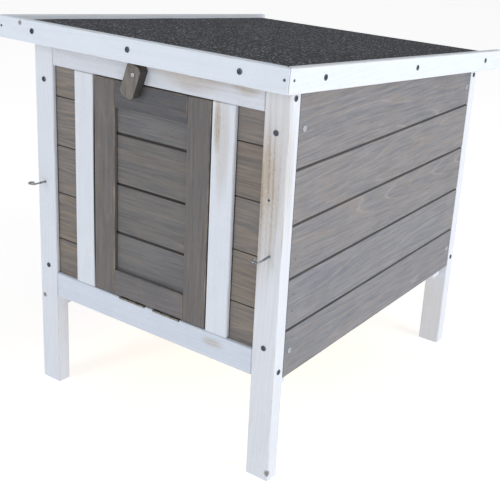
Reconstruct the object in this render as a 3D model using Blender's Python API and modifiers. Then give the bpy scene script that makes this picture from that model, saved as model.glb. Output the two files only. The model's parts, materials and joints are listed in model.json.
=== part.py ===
"""Small rabbit hutch on legs, with a sloping felt roof and a drop-down ramp door.

Metres, +Z up. +X runs along the front, the front faces -Y, and the origin lies on the
ground under the middle of the roof. Left and right are those of a person who stands in
front of the hutch and looks at its door.
"""
import math

import bmesh
import bpy
from mathutils import Matrix, Vector

# ---------------------------------------------------------------- driving dimensions
OVERALL_HEIGHT = 0.602
BODY_WIDTH = 0.460
BODY_DEPTH = 0.575
FRONT_OVERHANG = 0.046
ROOF_WIDTH = 0.511
ROOF_LENGTH = 0.660
ROOF_SLOPE = math.radians(4.8)

GAP = 0.0003            # between pieces that touch
ARRIS = 0.0012          # worn edge of a planed batten

LEG_WIDTH = 0.038
LEG_DEPTH = 0.023
RAIL_THICKNESS = 0.018
SILL_BOTTOM = 0.158     # underside of the bottom rails and the side boards
SILL_TOP = 0.1985
LINTEL_BOTTOM = 0.5318
POST_WIDTH = 0.038
DOORWAY_HALF = 0.109

BOARD_PITCH = 0.076     # cover width of the boards
BOARD_THICKNESS = 0.012
PANEL_THICKNESS = 0.008
PANEL_RECESS = 0.006    # panel boards lie this far behind the frame's face
GROOVE_DEPTH = 0.005    # of the frame's groove that holds a panel's edge
TONGUE = 0.004
VEE = 0.002

BATTEN_WIDTH = 0.026
BATTEN_DEPTH = 0.025
BATTEN_BOTTOM = 0.137
FLOOR_THICKNESS = 0.008
BEARER = 0.020

DOOR_HALF = 0.107
DOOR_BOTTOM = 0.2008
DOOR_TOP = 0.5300
DOOR_STILE = 0.040
DOOR_RAIL = 0.0395
DOOR_AXIS_DROP = 0.0005  # of the hinge pins below the sill's top face

ROOF_BOARD = 0.012
FELT = 0.0025
FASCIA_THICKNESS = 0.012
FASCIA_HEIGHT = 0.032
FASCIA_RISE = 0.006     # of the fascias' top edge over the felt
EAVES_SETBACK = 0.009   # of the felt's rear edge from the side fascias' ends
ROOF_HINGE_OFFSET = 0.003

LATCH_THICKNESS = 0.016
LATCH_PIVOT = (-0.017, 0.547)
LATCH_TILT = math.radians(20)

# ---------------------------------------------------------------- worked-out dimensions
SIN, COS, TAN = math.sin(ROOF_SLOPE), math.cos(ROOF_SLOPE), math.tan(ROOF_SLOPE)
HALF_WIDTH = BODY_WIDTH / 2
OVERALL_DEPTH = ROOF_LENGTH * COS + FASCIA_HEIGHT * SIN
FRONT = FRONT_OVERHANG - OVERALL_DEPTH / 2
REAR = FRONT + BODY_DEPTH

# The roof has its own frame, with its origin on the roof hinges' axis: x as outside,
# y down the slope to the rear, z square to the boards.
UNDERSIDE = ROOF_HINGE_OFFSET
BOARD_TOP = UNDERSIDE + ROOF_BOARD
FELT_TOP = BOARD_TOP + GAP + FELT
FASCIA_TOP = FELT_TOP + FASCIA_RISE
FASCIA_BOTTOM = FASCIA_TOP - FASCIA_HEIGHT
ROOF_AXIS_Y = REAR + ROOF_HINGE_OFFSET
ROOF_REAR = (OVERALL_DEPTH / 2 - ROOF_AXIS_Y - FASCIA_TOP * SIN) / COS
ROOF_FRONT = ROOF_REAR - ROOF_LENGTH
ROOF_AXIS_Z = OVERALL_HEIGHT + ROOF_FRONT * SIN - FASCIA_TOP * COS

DOOR_AXIS = Vector((0, FRONT - 0.0002, SILL_TOP - DOOR_AXIS_DROP))
LATCH_AXIS = Vector((LATCH_PIVOT[0], FRONT - GAP, LATCH_PIVOT[1]))
ROOF_AXIS = Vector((0, ROOF_AXIS_Y, ROOF_AXIS_Z))


def under_roof(y):
    """Height of the roof's underside at the depth y, at rest."""
    return ROOF_AXIS_Z + UNDERSIDE / COS - (y - ROOF_AXIS_Y) * TAN


# ---------------------------------------------------------------- scene and materials
for old in list(bpy.data.objects):
    bpy.data.objects.remove(old, do_unlink=True)

hutch = bpy.data.collections.new("rabbit_hutch")
cutters = bpy.data.collections.new("cutters")
for collection in (hutch, cutters):
    bpy.context.scene.collection.children.link(collection)


def finish(name, colour, roughness, metallic=0.0):
    """A Principled material."""
    material = bpy.data.materials.new(name)
    material.use_nodes = True
    shader = material.node_tree.nodes["Principled BSDF"]
    shader.inputs["Base Color"].default_value = (*colour, 1)
    shader.inputs["Roughness"].default_value = roughness
    shader.inputs["Metallic"].default_value = metallic
    return material


WHITEWASH = finish("whitewashed_pine", (0.72, 0.76, 0.82), 0.65)
GREY_STAIN = finish("grey_stained_pine", (0.15, 0.14, 0.13), 0.7)
BARE_WOOD = finish("bare_pine", (0.62, 0.47, 0.30), 0.7)
ROOF_FELT = finish("mineral_felt", (0.03, 0.03, 0.035), 0.9)
ZINC = finish("zinc_plated_steel", (0.62, 0.64, 0.66), 0.35, 1.0)


# ---------------------------------------------------------------- makers
def add(name, data, material, collection=hutch):
    """Links a new object with the given data and material."""
    data.name = name
    piece = bpy.data.objects.new(name, data)
    collection.objects.link(piece)
    if material is not None:
        data.materials.append(material)
    return piece


def soften(piece, width=ARRIS):
    """Takes the sharp edge off a piece with one small chamfer."""
    bevel = piece.modifiers.new("Arris", "BEVEL")
    bevel.width = width
    bevel.segments = 1
    bevel.limit_method = "ANGLE"
    return piece


def box(name, low, high, material, arris=ARRIS, collection=hutch, parent=None):
    """A box between two corners, given in its parent's frame."""
    low, high = Vector(low), Vector(high)
    bm = bmesh.new()
    bmesh.ops.create_cube(bm, size=1, matrix=Matrix.Diagonal((*(high - low), 1)))
    mesh = bpy.data.meshes.new(name)
    bm.to_mesh(mesh)
    bm.free()
    piece = add(name, mesh, material, collection)
    piece.location = (low + high) / 2
    piece.parent = parent
    if arris:
        soften(piece, arris)
    return piece


def cutter(piece):
    """Marks a piece as a cutter, which isn't part of the hutch."""
    piece.hide_render = True
    piece.display_type = "WIRE"
    for collection in list(piece.users_collection):
        collection.objects.unlink(piece)
    cutters.objects.link(piece)
    return piece


def cut(piece, tool, operation="DIFFERENCE"):
    """Cuts a piece with a tool, or joins the tool to it."""
    boolean = piece.modifiers.new(operation.title(), "BOOLEAN")
    boolean.object = tool
    boolean.operation = operation
    return piece


def slab(name, outline, depth, material, location=(0, 0, 0), turn=(0, 0, 0), parent=None):
    """A flat outline in its own XY plane, extruded by depth about that plane, as a mesh."""
    curve = bpy.data.curves.new(name, "CURVE")
    curve.dimensions = "2D"
    curve.fill_mode = "BOTH"
    curve.extrude = depth / 2
    spline = curve.splines.new("POLY")
    spline.points.add(len(outline) - 1)
    for point, (x, y) in zip(spline.points, outline):
        point.co = (x, y, 0, 1)
    spline.use_cyclic_u = True
    return as_mesh(add(name, curve, None), material, location, turn, parent)


def as_mesh(curve_piece, material, location, turn, parent):
    """Turns a curve object into a mesh object with welded caps."""
    name = curve_piece.name
    evaluated = curve_piece.evaluated_get(bpy.context.evaluated_depsgraph_get())
    mesh = bpy.data.meshes.new_from_object(evaluated)
    curve = curve_piece.data
    bpy.data.objects.remove(curve_piece, do_unlink=True)
    bpy.data.curves.remove(curve)
    bm = bmesh.new()
    bm.from_mesh(mesh)
    bmesh.ops.remove_doubles(bm, verts=bm.verts, dist=0.00001)
    bmesh.ops.recalc_face_normals(bm, faces=bm.faces)
    bm.to_mesh(mesh)
    bm.free()
    mesh.materials.clear()
    piece = add(name, mesh, material)
    piece.location = location
    piece.rotation_euler = turn
    piece.parent = parent
    return piece


def axis_empty(name, location, turn=(0, 0, 0)):
    """An empty on a joint's axis, which its moving pieces hang on."""
    empty = bpy.data.objects.new(name, None)
    empty.location = location
    empty.rotation_euler = turn
    empty.empty_display_size = 0.05
    hutch.objects.link(empty)
    return empty


# ---------------------------------------------------------------- boards
FACING_RIGHT, FACING_FRONT, FACING_LEFT, FACING_REAR = (math.radians(a) for a in (180, 90, 0, 270))


def board_outline(height, thickness, tongue=True, groove=True, top_vee=True):
    """Section of a tongue-and-groove board: x from its face inwards, y up from its shoulder."""
    third = thickness / 3
    slack = GAP
    outline = [(0, VEE if groove else 0)]
    outline += [(0, height - VEE), (VEE, height)] if top_vee else [(0, height)]
    if tongue:
        outline += [(third, height), (third, height + TONGUE)]
        outline += [(2 * third, height + TONGUE), (2 * third, height)]
    outline += [(thickness, height), (thickness, 0)]
    if groove:
        deep = TONGUE + 2 * GAP
        outline += [(2 * third + slack, 0), (2 * third + slack, deep)]
        outline += [(third - slack, deep), (third - slack, 0), (VEE, 0)]
    return outline


def board(name, facing, face, low, high, centre, length, thickness, parent=None, **edges):
    """A horizontal board with its outer face at the given place and its ends square."""
    outline = board_outline(high - low - GAP, thickness, **edges)
    sideways = facing in (FACING_LEFT, FACING_RIGHT)
    location = (face, centre, low) if sideways else (centre, face, low)
    if parent is not None:
        location = Vector(location) - parent.location
    return slab(name, outline, length, GREY_STAIN, location, (math.pi / 2, 0, facing), parent)


def joined_boards(name, low, high, centre, length, joints):
    """Front infill: its short boards glued up as one panel, with a V at each joint."""
    outline = [(0, 0)]
    for joint in joints:
        outline += [(0, joint - low - VEE), (VEE, joint - low), (0, joint - low + VEE)]
    outline += [(0, high - low), (PANEL_THICKNESS, high - low), (PANEL_THICKNESS, 0)]
    location = (centre, FRONT + PANEL_RECESS, low)
    return slab(name, outline, length, GREY_STAIN, location, (math.pi / 2, 0, FACING_FRONT))


def panel_groove(name, centre, half_length, low, high, face, parent=None):
    """A tool for the grooves that hold a panel: the panel's own box with a little room.

    The face is the panel's outer face, and the panel lies behind it in +Y.
    """
    room = 2 * GAP
    corner_low = Vector((centre - half_length - room, face - GAP, low - room))
    corner_high = Vector((centre + half_length + room, face + PANEL_THICKNESS + GAP, high + room))
    if parent is not None:
        corner_low -= parent.location
        corner_high -= parent.location
    return cutter(box(name, corner_low, corner_high, None, arris=0, parent=parent))


# ---------------------------------------------------------------- cabin frame
SIDES = {"left": -1, "right": 1}
INNER_LEG = HALF_WIDTH - LEG_WIDTH


def span(side, near, far):
    """The two x values of a piece on one side, lowest first."""
    return sorted((side * near, side * far))


def make_legs():
    legs = {}
    for word, side in SIDES.items():
        x_low, x_high = span(side, INNER_LEG, HALF_WIDTH)
        for end, y_low in (("front", FRONT), ("rear", REAR - LEG_DEPTH)):
            y_high = y_low + LEG_DEPTH
            name = f"{end}_{word}_leg"
            top = under_roof(y_high) - GAP
            legs[name] = box(name, (x_low, y_low, 0), (x_high, y_high, top), WHITEWASH)
    return legs


def make_rails():
    """The four rails between the legs; the rear ones match the front ones."""
    half = INNER_LEG - GAP
    rear_low = REAR - RAIL_THICKNESS
    rear_top = under_roof(REAR) - GAP
    front_high = FRONT + RAIL_THICKNESS
    levels = {
        "front_top_rail": (FRONT, LINTEL_BOTTOM, under_roof(front_high) - GAP),
        "front_bottom_rail": (FRONT, SILL_BOTTOM, SILL_TOP),
        "rear_top_rail": (rear_low, rear_top - 0.038, rear_top),
        "rear_bottom_rail": (rear_low, SILL_BOTTOM, SILL_TOP),
    }
    rails = {}
    for name, (y, low, high) in levels.items():
        rails[name] = box(name, (-half, y, low), (half, y + RAIL_THICKNESS, high), WHITEWASH)
    return rails


def make_posts():
    """The two uprights at the doorway."""
    posts = {}
    for word, side in SIDES.items():
        x_low, x_high = span(side, DOORWAY_HALF, DOORWAY_HALF + POST_WIDTH)
        low = (x_low, FRONT, SILL_TOP + GAP)
        high = (x_high, FRONT + RAIL_THICKNESS, LINTEL_BOTTOM - GAP)
        posts[word] = box(f"{word}_door_post", low, high, WHITEWASH)
    return posts


def make_front_infill(legs, rails, posts):
    """A panel of short boards on each side of the doorway, let into grooves."""
    first_joint = 0.257
    joints = [first_joint + BOARD_PITCH * i for i in range(4)]
    post_outside = DOORWAY_HALF + POST_WIDTH
    half = (INNER_LEG - post_outside) / 2 + GROOVE_DEPTH
    low, high = SILL_TOP - GROOVE_DEPTH, LINTEL_BOTTOM + GROOVE_DEPTH
    for word, side in SIDES.items():
        centre = side * (INNER_LEG + post_outside) / 2
        joined_boards(f"front_{word}_panel", low, high, centre, 2 * half, joints)
        groove = panel_groove(f"{word}_panel_groove", centre, half, low, high, FRONT + PANEL_RECESS)
        neighbours = (legs[f"front_{word}_leg"], rails["front_top_rail"],
                      rails["front_bottom_rail"], posts[word])
        for neighbour in neighbours:
            cut(neighbour, groove)


def make_rear_boards(legs, rails):
    """Four boards between the rear legs, let into grooves like the front ones."""
    half = INNER_LEG + GROOVE_DEPTH
    rail_bottom = under_roof(REAR) - GAP - 0.038
    low, high = SILL_TOP - GROOVE_DEPTH, rail_bottom + GROOVE_DEPTH
    levels = [low] + [rail_bottom - BOARD_PITCH * i for i in (3, 2, 1)] + [high]
    face = REAR - PANEL_RECESS
    for i in range(4):
        last = i == 3
        board(f"rear_board_{i + 1}", FACING_REAR, face, levels[i], levels[i + 1], 0, 2 * half,
              PANEL_THICKNESS, tongue=not last, groove=i > 0, top_vee=not last)
    groove = panel_groove("rear_panel_groove", 0, half, low, high, face - PANEL_THICKNESS)
    for name in ("rear_left_leg", "rear_right_leg"):
        cut(legs[name], groove)
    for name in ("rear_top_rail", "rear_bottom_rail"):
        cut(rails[name], groove)


def make_side_boards(roof_plane):
    """Five boards a side, flush with the legs; the wide top one follows the roof."""
    first, last = FRONT + LEG_DEPTH + GAP, REAR - LEG_DEPTH - GAP
    centre, length = (first + last) / 2, last - first
    top_joint = 0.458
    levels = [SILL_BOTTOM] + [top_joint - BOARD_PITCH * i for i in (3, 2, 1, 0)]
    levels.append(under_roof(first))
    for word, side in SIDES.items():
        facing = FACING_RIGHT if side > 0 else FACING_LEFT
        for i in range(5):
            top = i == 4
            piece = board(f"{word}_side_board_{i + 1}", facing, side * HALF_WIDTH, levels[i],
                          levels[i + 1], centre, length, BOARD_THICKNESS,
                          tongue=not top, groove=i > 0, top_vee=not top)
            if top:
                cut(piece, roof_plane)


def make_battens_and_floor():
    """Corner battens that the side boards are nailed to, and the floor on its bearers."""
    outer = HALF_WIDTH - BOARD_THICKNESS - GAP
    front_low = FRONT + LEG_DEPTH + GAP
    rear_high = REAR - LEG_DEPTH - GAP
    for word, side in SIDES.items():
        x_low, x_high = span(side, outer - BATTEN_WIDTH, outer)
        for end, y_low in (("front", front_low), ("rear", rear_high - BATTEN_DEPTH)):
            y_high = y_low + BATTEN_DEPTH
            box(f"{end}_{word}_batten", (x_low, y_low, BATTEN_BOTTOM),
                (x_high, y_high, under_roof(y_high) - 0.002), WHITEWASH)
        x_low, x_high = span(side, outer - BEARER, outer)
        box(f"{word}_floor_bearer", (x_low, front_low + BATTEN_DEPTH + GAP, SILL_BOTTOM + 0.002),
            (x_high, rear_high - BATTEN_DEPTH - GAP, SILL_BOTTOM + 0.002 + BEARER), BARE_WOOD)
    floor_low = SILL_BOTTOM + 0.002 + BEARER + GAP
    ease = 0.0005
    floor = box("floor_panel", (-outer + ease, FRONT + RAIL_THICKNESS + ease, floor_low),
                (outer - ease, REAR - RAIL_THICKNESS - ease, floor_low + FLOOR_THICKNESS),
                BARE_WOOD, arris=0)
    notch_depth = LEG_DEPTH - RAIL_THICKNESS + BATTEN_DEPTH + 0.002
    for word, side in SIDES.items():
        x_low, x_high = span(side, outer - BATTEN_WIDTH - 2 * ease, HALF_WIDTH)
        for end, y_low in (("front", FRONT + RAIL_THICKNESS), ("rear", REAR - RAIL_THICKNESS - notch_depth)):
            notch = box(f"{end}_{word}_floor_notch", (x_low, y_low, floor_low - 0.01),
                        (x_high, y_low + notch_depth, floor_low + 0.03), None, arris=0)
            cut(floor, cutter(notch))


# ---------------------------------------------------------------- hinges
def cylinder(name, radius, x_low, x_high, sides, material, parent=None):
    """A cylinder along X on its parent's axis."""
    length = x_high - x_low
    bm = bmesh.new()
    turn = Matrix.Rotation(math.pi / 2, 4, "Y") @ Matrix.Rotation(math.pi / sides, 4, "Z")
    bmesh.ops.create_cone(bm, cap_ends=True, segments=sides, radius1=radius, radius2=radius,
                          depth=length, matrix=turn)
    mesh = bpy.data.meshes.new(name)
    bm.to_mesh(mesh)
    bm.free()
    piece = add(name, mesh, material)
    piece.location = ((x_low + x_high) / 2, 0, 0)
    piece.parent = parent
    return piece


def hinge_leaf(name, size, level, knuckles, pin, parent, turn=(0, 0, 0), shift=(0, 0, 0)):
    """Half a butt hinge: its leaf lies in +Y of the pin, its knuckles are round X.

    size holds the hinge's length, leaf width, leaf thickness and knuckle radius. level is
    the leaf's lower face above the pin. knuckles are stretches along X. A leaf that holds
    the pin is joined to it, and the other leaf is bored for it.
    """
    length, width, thickness, radius = size
    clear = radius + 2 * GAP
    holder = bpy.data.objects.new(f"{name}_place", None)
    holder.parent = parent
    holder.location = shift
    holder.rotation_euler = turn
    hutch.objects.link(holder)
    leaf = box(name, (-length / 2, clear, level), (length / 2, width, level + thickness), ZINC,
               arris=0, parent=holder)
    for i, (low, high) in enumerate(knuckles):
        neck = box(f"{name}_neck_{i}", (low, 0, level), (high, clear + GAP, level + thickness),
                   None, arris=0, parent=holder)
        barrel = cylinder(f"{name}_barrel_{i}", radius, low, high, 12, None, holder)
        cut(leaf, cutter(neck), "UNION")
        cut(leaf, cutter(barrel), "UNION")
    pin_radius = radius / 2
    if pin:
        rod = cylinder(f"{name}_pin", pin_radius, -length / 2 + GAP, length / 2 - GAP, 8, None, holder)
        cut(leaf, cutter(rod), "UNION")
    else:
        bore = cylinder(f"{name}_bore", pin_radius + GAP, -length, length, 8, None, holder)
        cut(leaf, cutter(bore))
    return leaf


def knuckle_spans(length):
    """Outer and middle knuckles of a three-knuckle hinge."""
    third = length / 6
    outer = [(-length / 2, -third - GAP / 2), (third + GAP / 2, length / 2)]
    return outer, [(-third + GAP / 2, third - GAP / 2)]


# ---------------------------------------------------------------- door
def make_door(front_bottom_rail):
    """Frame-and-panel door that drops forwards on two butt hinges in the sill."""
    axis = axis_empty("door_axis", DOOR_AXIS)
    face, back = FRONT, FRONT + RAIL_THICKNESS

    def part(name, x_low, x_high, low, high):
        corner_low = Vector((x_low, face, low)) - DOOR_AXIS
        corner_high = Vector((x_high, back, high)) - DOOR_AXIS
        return box(name, corner_low, corner_high, GREY_STAIN, parent=axis)

    inner = DOOR_HALF - DOOR_STILE
    frame = [
        part("left_door_stile", -DOOR_HALF, -inner, DOOR_BOTTOM, DOOR_TOP),
        part("right_door_stile", inner, DOOR_HALF, DOOR_BOTTOM, DOOR_TOP),
        part("bottom_door_rail", -inner + GAP, inner - GAP, DOOR_BOTTOM, DOOR_BOTTOM + DOOR_RAIL),
        part("top_door_rail", -inner + GAP, inner - GAP, DOOR_TOP - DOOR_RAIL, DOOR_TOP),
    ]
    low = DOOR_BOTTOM + DOOR_RAIL - GROOVE_DEPTH
    high = DOOR_TOP - DOOR_RAIL + GROOVE_DEPTH
    half = inner + GROOVE_DEPTH
    first_joint = 0.300
    levels = [low] + [first_joint + BOARD_PITCH * i for i in range(3)] + [high]
    for i in range(4):
        last = i == 3
        board(f"door_board_{i + 1}", FACING_FRONT, FRONT + PANEL_RECESS, levels[i], levels[i + 1],
              0, 2 * half, PANEL_THICKNESS, parent=axis,
              tongue=not last, groove=i > 0, top_vee=not last)
    groove = panel_groove("door_panel_groove", 0, half, low, high, FRONT + PANEL_RECESS, axis)
    for piece in frame:
        cut(piece, groove)
    make_door_hinges(axis, front_bottom_rail)


def make_door_hinges(axis, sill):
    """Two small butt hinges in the joint between the sill and the door."""
    length, width, thickness, radius = size = (0.050, 0.015, 0.0009, 0.0018)
    outer, middle = knuckle_spans(length)
    sill_leaf_level = -0.0007
    door_leaf_level = 0.0014
    for word, centre in (("left", -0.031), ("right", 0.036)):
        place = (DOOR_AXIS.x + centre, DOOR_AXIS.y, DOOR_AXIS.z)
        hinge_leaf(f"{word}_door_hinge_sill_leaf", size, sill_leaf_level, outer, True, None, shift=place)
        hinge_leaf(f"{word}_door_hinge_door_leaf", size, door_leaf_level, middle, False, axis,
                   shift=(centre, 0, 0))
        ease = 0.0008
        x_low, x_high = centre - length / 2 - ease, centre + length / 2 + ease
        recess = box(f"{word}_hinge_recess",
                     (x_low, FRONT - 0.01, DOOR_AXIS.z - radius - GAP),
                     (x_high, FRONT + radius + 3 * GAP, SILL_TOP + 0.01), None, arris=0)
        cut(sill, cutter(recess))
        seat = box(f"{word}_hinge_seat", (x_low, FRONT, DOOR_AXIS.z + sill_leaf_level - GAP),
                   (x_high, FRONT + width + ease, SILL_TOP + 0.01), None, arris=0)
        cut(sill, cutter(seat))


# ---------------------------------------------------------------- latch
def turned(name, profile, material, location, turn, parent=None, steps=16):
    """A turned piece: a profile of (radius, height) points, top first, spun about Z."""
    mesh = bpy.data.meshes.new(name)
    edges = [(i, i + 1) for i in range(len(profile) - 1)]
    mesh.from_pydata([(r, 0, z) for r, z in profile], edges, [])
    piece = add(name, mesh, material)
    piece.location = location
    piece.rotation_euler = turn
    piece.parent = parent
    screw = piece.modifiers.new("Turn", "SCREW")
    screw.steps = screw.render_steps = steps
    screw.use_merge_vertices = True
    screw.merge_threshold = 0.00001
    return piece


def screw_profile(head, shank, length, room=0.0):
    """A countersunk screw, head up at height 0; room makes it the hole for one."""
    sunk = head - shank
    return [(0, room), (head + room, room), (head + room, -0.0006 - room),
            (shank + room, -sunk - room), (shank + room, -length - room), (0, -length - room)]


def make_latch(lintel):
    """Turn button over the door's top edge, on one screw in the lintel."""
    axis = axis_empty("latch_axis", LATCH_AXIS)
    width, above, below, off_centre, corner = 0.026, 0.0145, 0.0355, 0.0015, 0.005
    left, right = -width / 2 - off_centre, width / 2 - off_centre
    outline = [(left + corner, -below), (right - corner, -below), (right, corner - below),
               (right, above - corner), (right - corner, above), (left + corner, above),
               (left, above - corner), (left, corner - below)]
    # the outline's XY plane is stood up so that it faces the front, then turned to its rest tilt
    button = slab("latch_button", outline, LATCH_THICKNESS, GREY_STAIN,
                  (0, -LATCH_THICKNESS / 2, 0), (math.pi / 2, LATCH_TILT, 0), axis)
    soften(button, 0.0008)
    face = LATCH_AXIS.y - LATCH_THICKNESS
    head_place = (LATCH_AXIS.x, face + GAP, LATCH_AXIS.z)
    forwards = (math.pi / 2, 0, 0)
    size = (0.0036, 0.0019, LATCH_THICKNESS + 0.014)
    turned("latch_screw", screw_profile(*size), ZINC, head_place, forwards)
    hole = cutter(turned("latch_screw_hole", screw_profile(*size, room=GAP), None, head_place, forwards))
    mouth = cutter(turned("latch_screw_mouth", [(0, 0.004), (0.0039, 0.004), (0.0039, -0.0001), (0, -0.0001)],
                          None, head_place, forwards))
    cut(button, hole)
    cut(button, mouth)
    cut(lintel, hole)


# ---------------------------------------------------------------- roof
def make_roof():
    """Felted board with three fascias, hinged at the rear."""
    axis = axis_empty("roof_axis", ROOF_AXIS, (-ROOF_SLOPE, 0, 0))
    half = ROOF_WIDTH / 2
    inner = half - FASCIA_THICKNESS
    front = ROOF_FRONT + FASCIA_THICKNESS
    rear = ROOF_REAR - EAVES_SETBACK
    box("roof_board", (-inner + GAP, front + GAP, UNDERSIDE), (inner - GAP, rear, BOARD_TOP),
        BARE_WOOD, arris=0, parent=axis)
    trim = 0.001
    box("roof_felt", (-inner + trim, front + trim, BOARD_TOP + GAP), (inner - trim, rear, FELT_TOP),
        ROOF_FELT, arris=0, parent=axis)
    middle = (FASCIA_TOP + FASCIA_BOTTOM) / 2
    mitre = GAP
    front_outline = [(-half + mitre, ROOF_FRONT), (half - mitre, ROOF_FRONT),
                     (inner - mitre, front), (-inner + mitre, front)]
    soften(slab("front_fascia", front_outline, FASCIA_HEIGHT, WHITEWASH, (0, 0, middle), parent=axis))
    for word, side in SIDES.items():
        outline = [(side * half, ROOF_FRONT + mitre), (side * half, ROOF_REAR),
                   (side * inner, ROOF_REAR), (side * inner, front + mitre)]
        soften(slab(f"{word}_fascia", outline, FASCIA_HEIGHT, WHITEWASH, (0, 0, middle), parent=axis))
    make_roof_hinges(axis)


def make_roof_hinges(axis):
    """Two butt hinges in the corner between the rear rail and the roof's overhang."""
    size = (0.050, 0.020, 0.0012, 0.0024)
    outer, middle = knuckle_spans(size[0])
    body_level = -ROOF_HINGE_OFFSET + GAP
    roof_level = ROOF_HINGE_OFFSET - GAP - size[2]
    for word, side in SIDES.items():
        centre = side * 0.130
        # the body's leaf hangs down the rail's rear face: its +Y points down
        hinge_leaf(f"{word}_roof_hinge_body_leaf", size, body_level, outer, True, None,
                   turn=(-math.pi / 2, 0, 0), shift=(centre, ROOF_AXIS.y, ROOF_AXIS.z))
        hinge_leaf(f"{word}_roof_hinge_roof_leaf", size, roof_level, middle, False, axis,
                   shift=(centre, 0, 0))


def roof_cutter():
    """A block whose underside lies just below the roof, for the side boards' sloping tops."""
    turn = (-ROOF_SLOPE, 0, 0)
    holder = axis_empty("roof_plane_place", ROOF_AXIS, turn)
    low = (-0.4, ROOF_FRONT, UNDERSIDE - 0.0005)
    return cutter(box("roof_plane", low, (0.4, ROOF_REAR, 0.15), None, arris=0, parent=holder))


# ---------------------------------------------------------------- hooks
def make_hook(name, leg, x, z, roll, tilt):
    """A wire screw hook in a leg's front face; roll turns its curl about the shank."""
    wire, curl, out, inside = 0.0014, 0.0054, 0.0215, 0.012
    steps = 14
    path = [(0, inside, 0), (0, 0, 0), (0, -out / 2, 0)]
    for i in range(steps + 1):
        angle = math.radians(250) * i / steps
        path.append((0, -out - curl * math.sin(angle), curl - curl * math.cos(angle)))
    turn = Matrix.Rotation(tilt, 3, "X").inverted() @ Matrix.Rotation(roll, 3, "Y")
    curve = bpy.data.curves.new(name, "CURVE")
    curve.dimensions = "3D"
    curve.bevel_depth = wire
    curve.bevel_resolution = 2
    curve.use_fill_caps = True
    spline = curve.splines.new("POLY")
    spline.points.add(len(path) - 1)
    for point, place in zip(spline.points, path):
        point.co = (*(turn @ Vector(place)), 1)
    hook = as_mesh(add(name, curve, None), ZINC, (x, FRONT, z), (0, 0, 0), None)
    hole = turned(f"{name}_hole", [(0, 0.004), (wire + 2 * GAP, 0.004), (wire + 2 * GAP, -inside - 0.001),
                                   (0, -inside - 0.001)], None, (x, FRONT, z),
                  (math.pi / 2 - tilt, 0, 0), steps=12)
    cut(leg, cutter(hole))
    return hook


# ---------------------------------------------------------------- the hutch
def make_hutch():
    legs = make_legs()
    rails = make_rails()
    posts = make_posts()
    make_front_infill(legs, rails, posts)
    make_rear_boards(legs, rails)
    make_side_boards(roof_cutter())
    make_battens_and_floor()
    make_door(rails["front_bottom_rail"])
    make_latch(rails["front_top_rail"])
    make_roof()
    level, slack = math.radians(-90), math.radians(3)
    make_hook("left_hook", legs["front_left_leg"], -0.2136, 0.346, level, slack)
    make_hook("right_hook", legs["front_right_leg"], 0.2117, 0.341, level + 2 * slack, -slack)


make_hutch()
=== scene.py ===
# %% [markdown]
# # A rabbit hutch on legs
# The real hutch is a pine box on four battens, brushed with a thin white stain on its frame
# and a grey one on its boards, under a sloping roof of black mineral felt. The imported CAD
# model already has every batten, board and joint in its true place, so this script keeps
# those solids and works on what makes them look real: timber with grain, knots and worn
# edges, felt with grit in it, and the small metal pieces. Anything whose CAD shape is too
# plain for a close look (boards beside the door, felt, turn button, hinges, hooks, screws)
# is modelled again here, in the same place and riding on the same moving body.

import json
import math

import bmesh
import bpy
from mathutils import Matrix, Vector, noise


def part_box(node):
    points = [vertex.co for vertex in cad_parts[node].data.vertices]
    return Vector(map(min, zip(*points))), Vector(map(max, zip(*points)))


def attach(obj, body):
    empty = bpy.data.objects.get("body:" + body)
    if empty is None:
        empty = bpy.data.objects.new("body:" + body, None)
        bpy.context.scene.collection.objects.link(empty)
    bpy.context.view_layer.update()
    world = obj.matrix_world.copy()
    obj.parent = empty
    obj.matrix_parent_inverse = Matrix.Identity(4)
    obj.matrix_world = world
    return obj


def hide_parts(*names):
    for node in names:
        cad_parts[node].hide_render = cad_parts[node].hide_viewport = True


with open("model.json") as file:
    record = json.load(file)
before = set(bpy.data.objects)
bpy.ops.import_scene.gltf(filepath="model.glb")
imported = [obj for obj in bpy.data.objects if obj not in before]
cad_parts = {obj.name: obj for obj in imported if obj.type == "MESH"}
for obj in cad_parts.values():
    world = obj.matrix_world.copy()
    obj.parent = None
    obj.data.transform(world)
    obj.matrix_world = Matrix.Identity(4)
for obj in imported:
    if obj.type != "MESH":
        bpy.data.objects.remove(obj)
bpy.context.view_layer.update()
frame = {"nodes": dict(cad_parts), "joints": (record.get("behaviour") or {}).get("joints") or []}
NODES = frame["nodes"]
JOINTS = {joint["name"]: joint for joint in frame["joints"]}

LEG_LOW, LEG_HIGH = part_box("front_right_leg")
FRONT = LEG_LOW.y                       # front faces of the legs, rails, posts and door
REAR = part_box("rear_right_leg")[1].y
SIDE = LEG_HIGH.x                       # outer faces of the legs and side boards
MM = 0.001
print(f"front at {FRONT:.4f}, rear at {REAR:.4f}, sides at {SIDE:.4f} m")

# %% [markdown]
# ## Writing a finish as a recipe
# A material is a graph of nodes, and a graph is easier to read as a recipe: take the place
# on the object, stretch it, make a noise of it, mix two colours by it. Blender lets a script
# add each node by hand, but that takes five lines a node. The small helpers here add a node,
# feed its inputs and return its output, so a recipe reads from the wood up to the stain.
# Every pattern reads Object coordinates, in metres, because each piece lies at the origin
# with its place in its mesh: a knot stays on its board when the door swings.

# %% Helpers that add nodes


def feed(tree, socket, value):
    """Puts a value, or another node's output, into an input."""
    if isinstance(value, bpy.types.NodeSocket):
        tree.links.new(value, socket)
    elif isinstance(value, tuple) and len(value) == 3 and socket.type == "RGBA":
        socket.default_value = (*value, 1)
    else:
        socket.default_value = value


def add_node(tree, kind, settings, **sockets):
    """Adds a node with its settings and inputs."""
    node = tree.nodes.new(kind)
    for name, value in settings.items():
        setattr(node, name, value)
    for name, value in sockets.items():
        feed(tree, node.inputs[name.replace("_", " ")], value)
    return node


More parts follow.
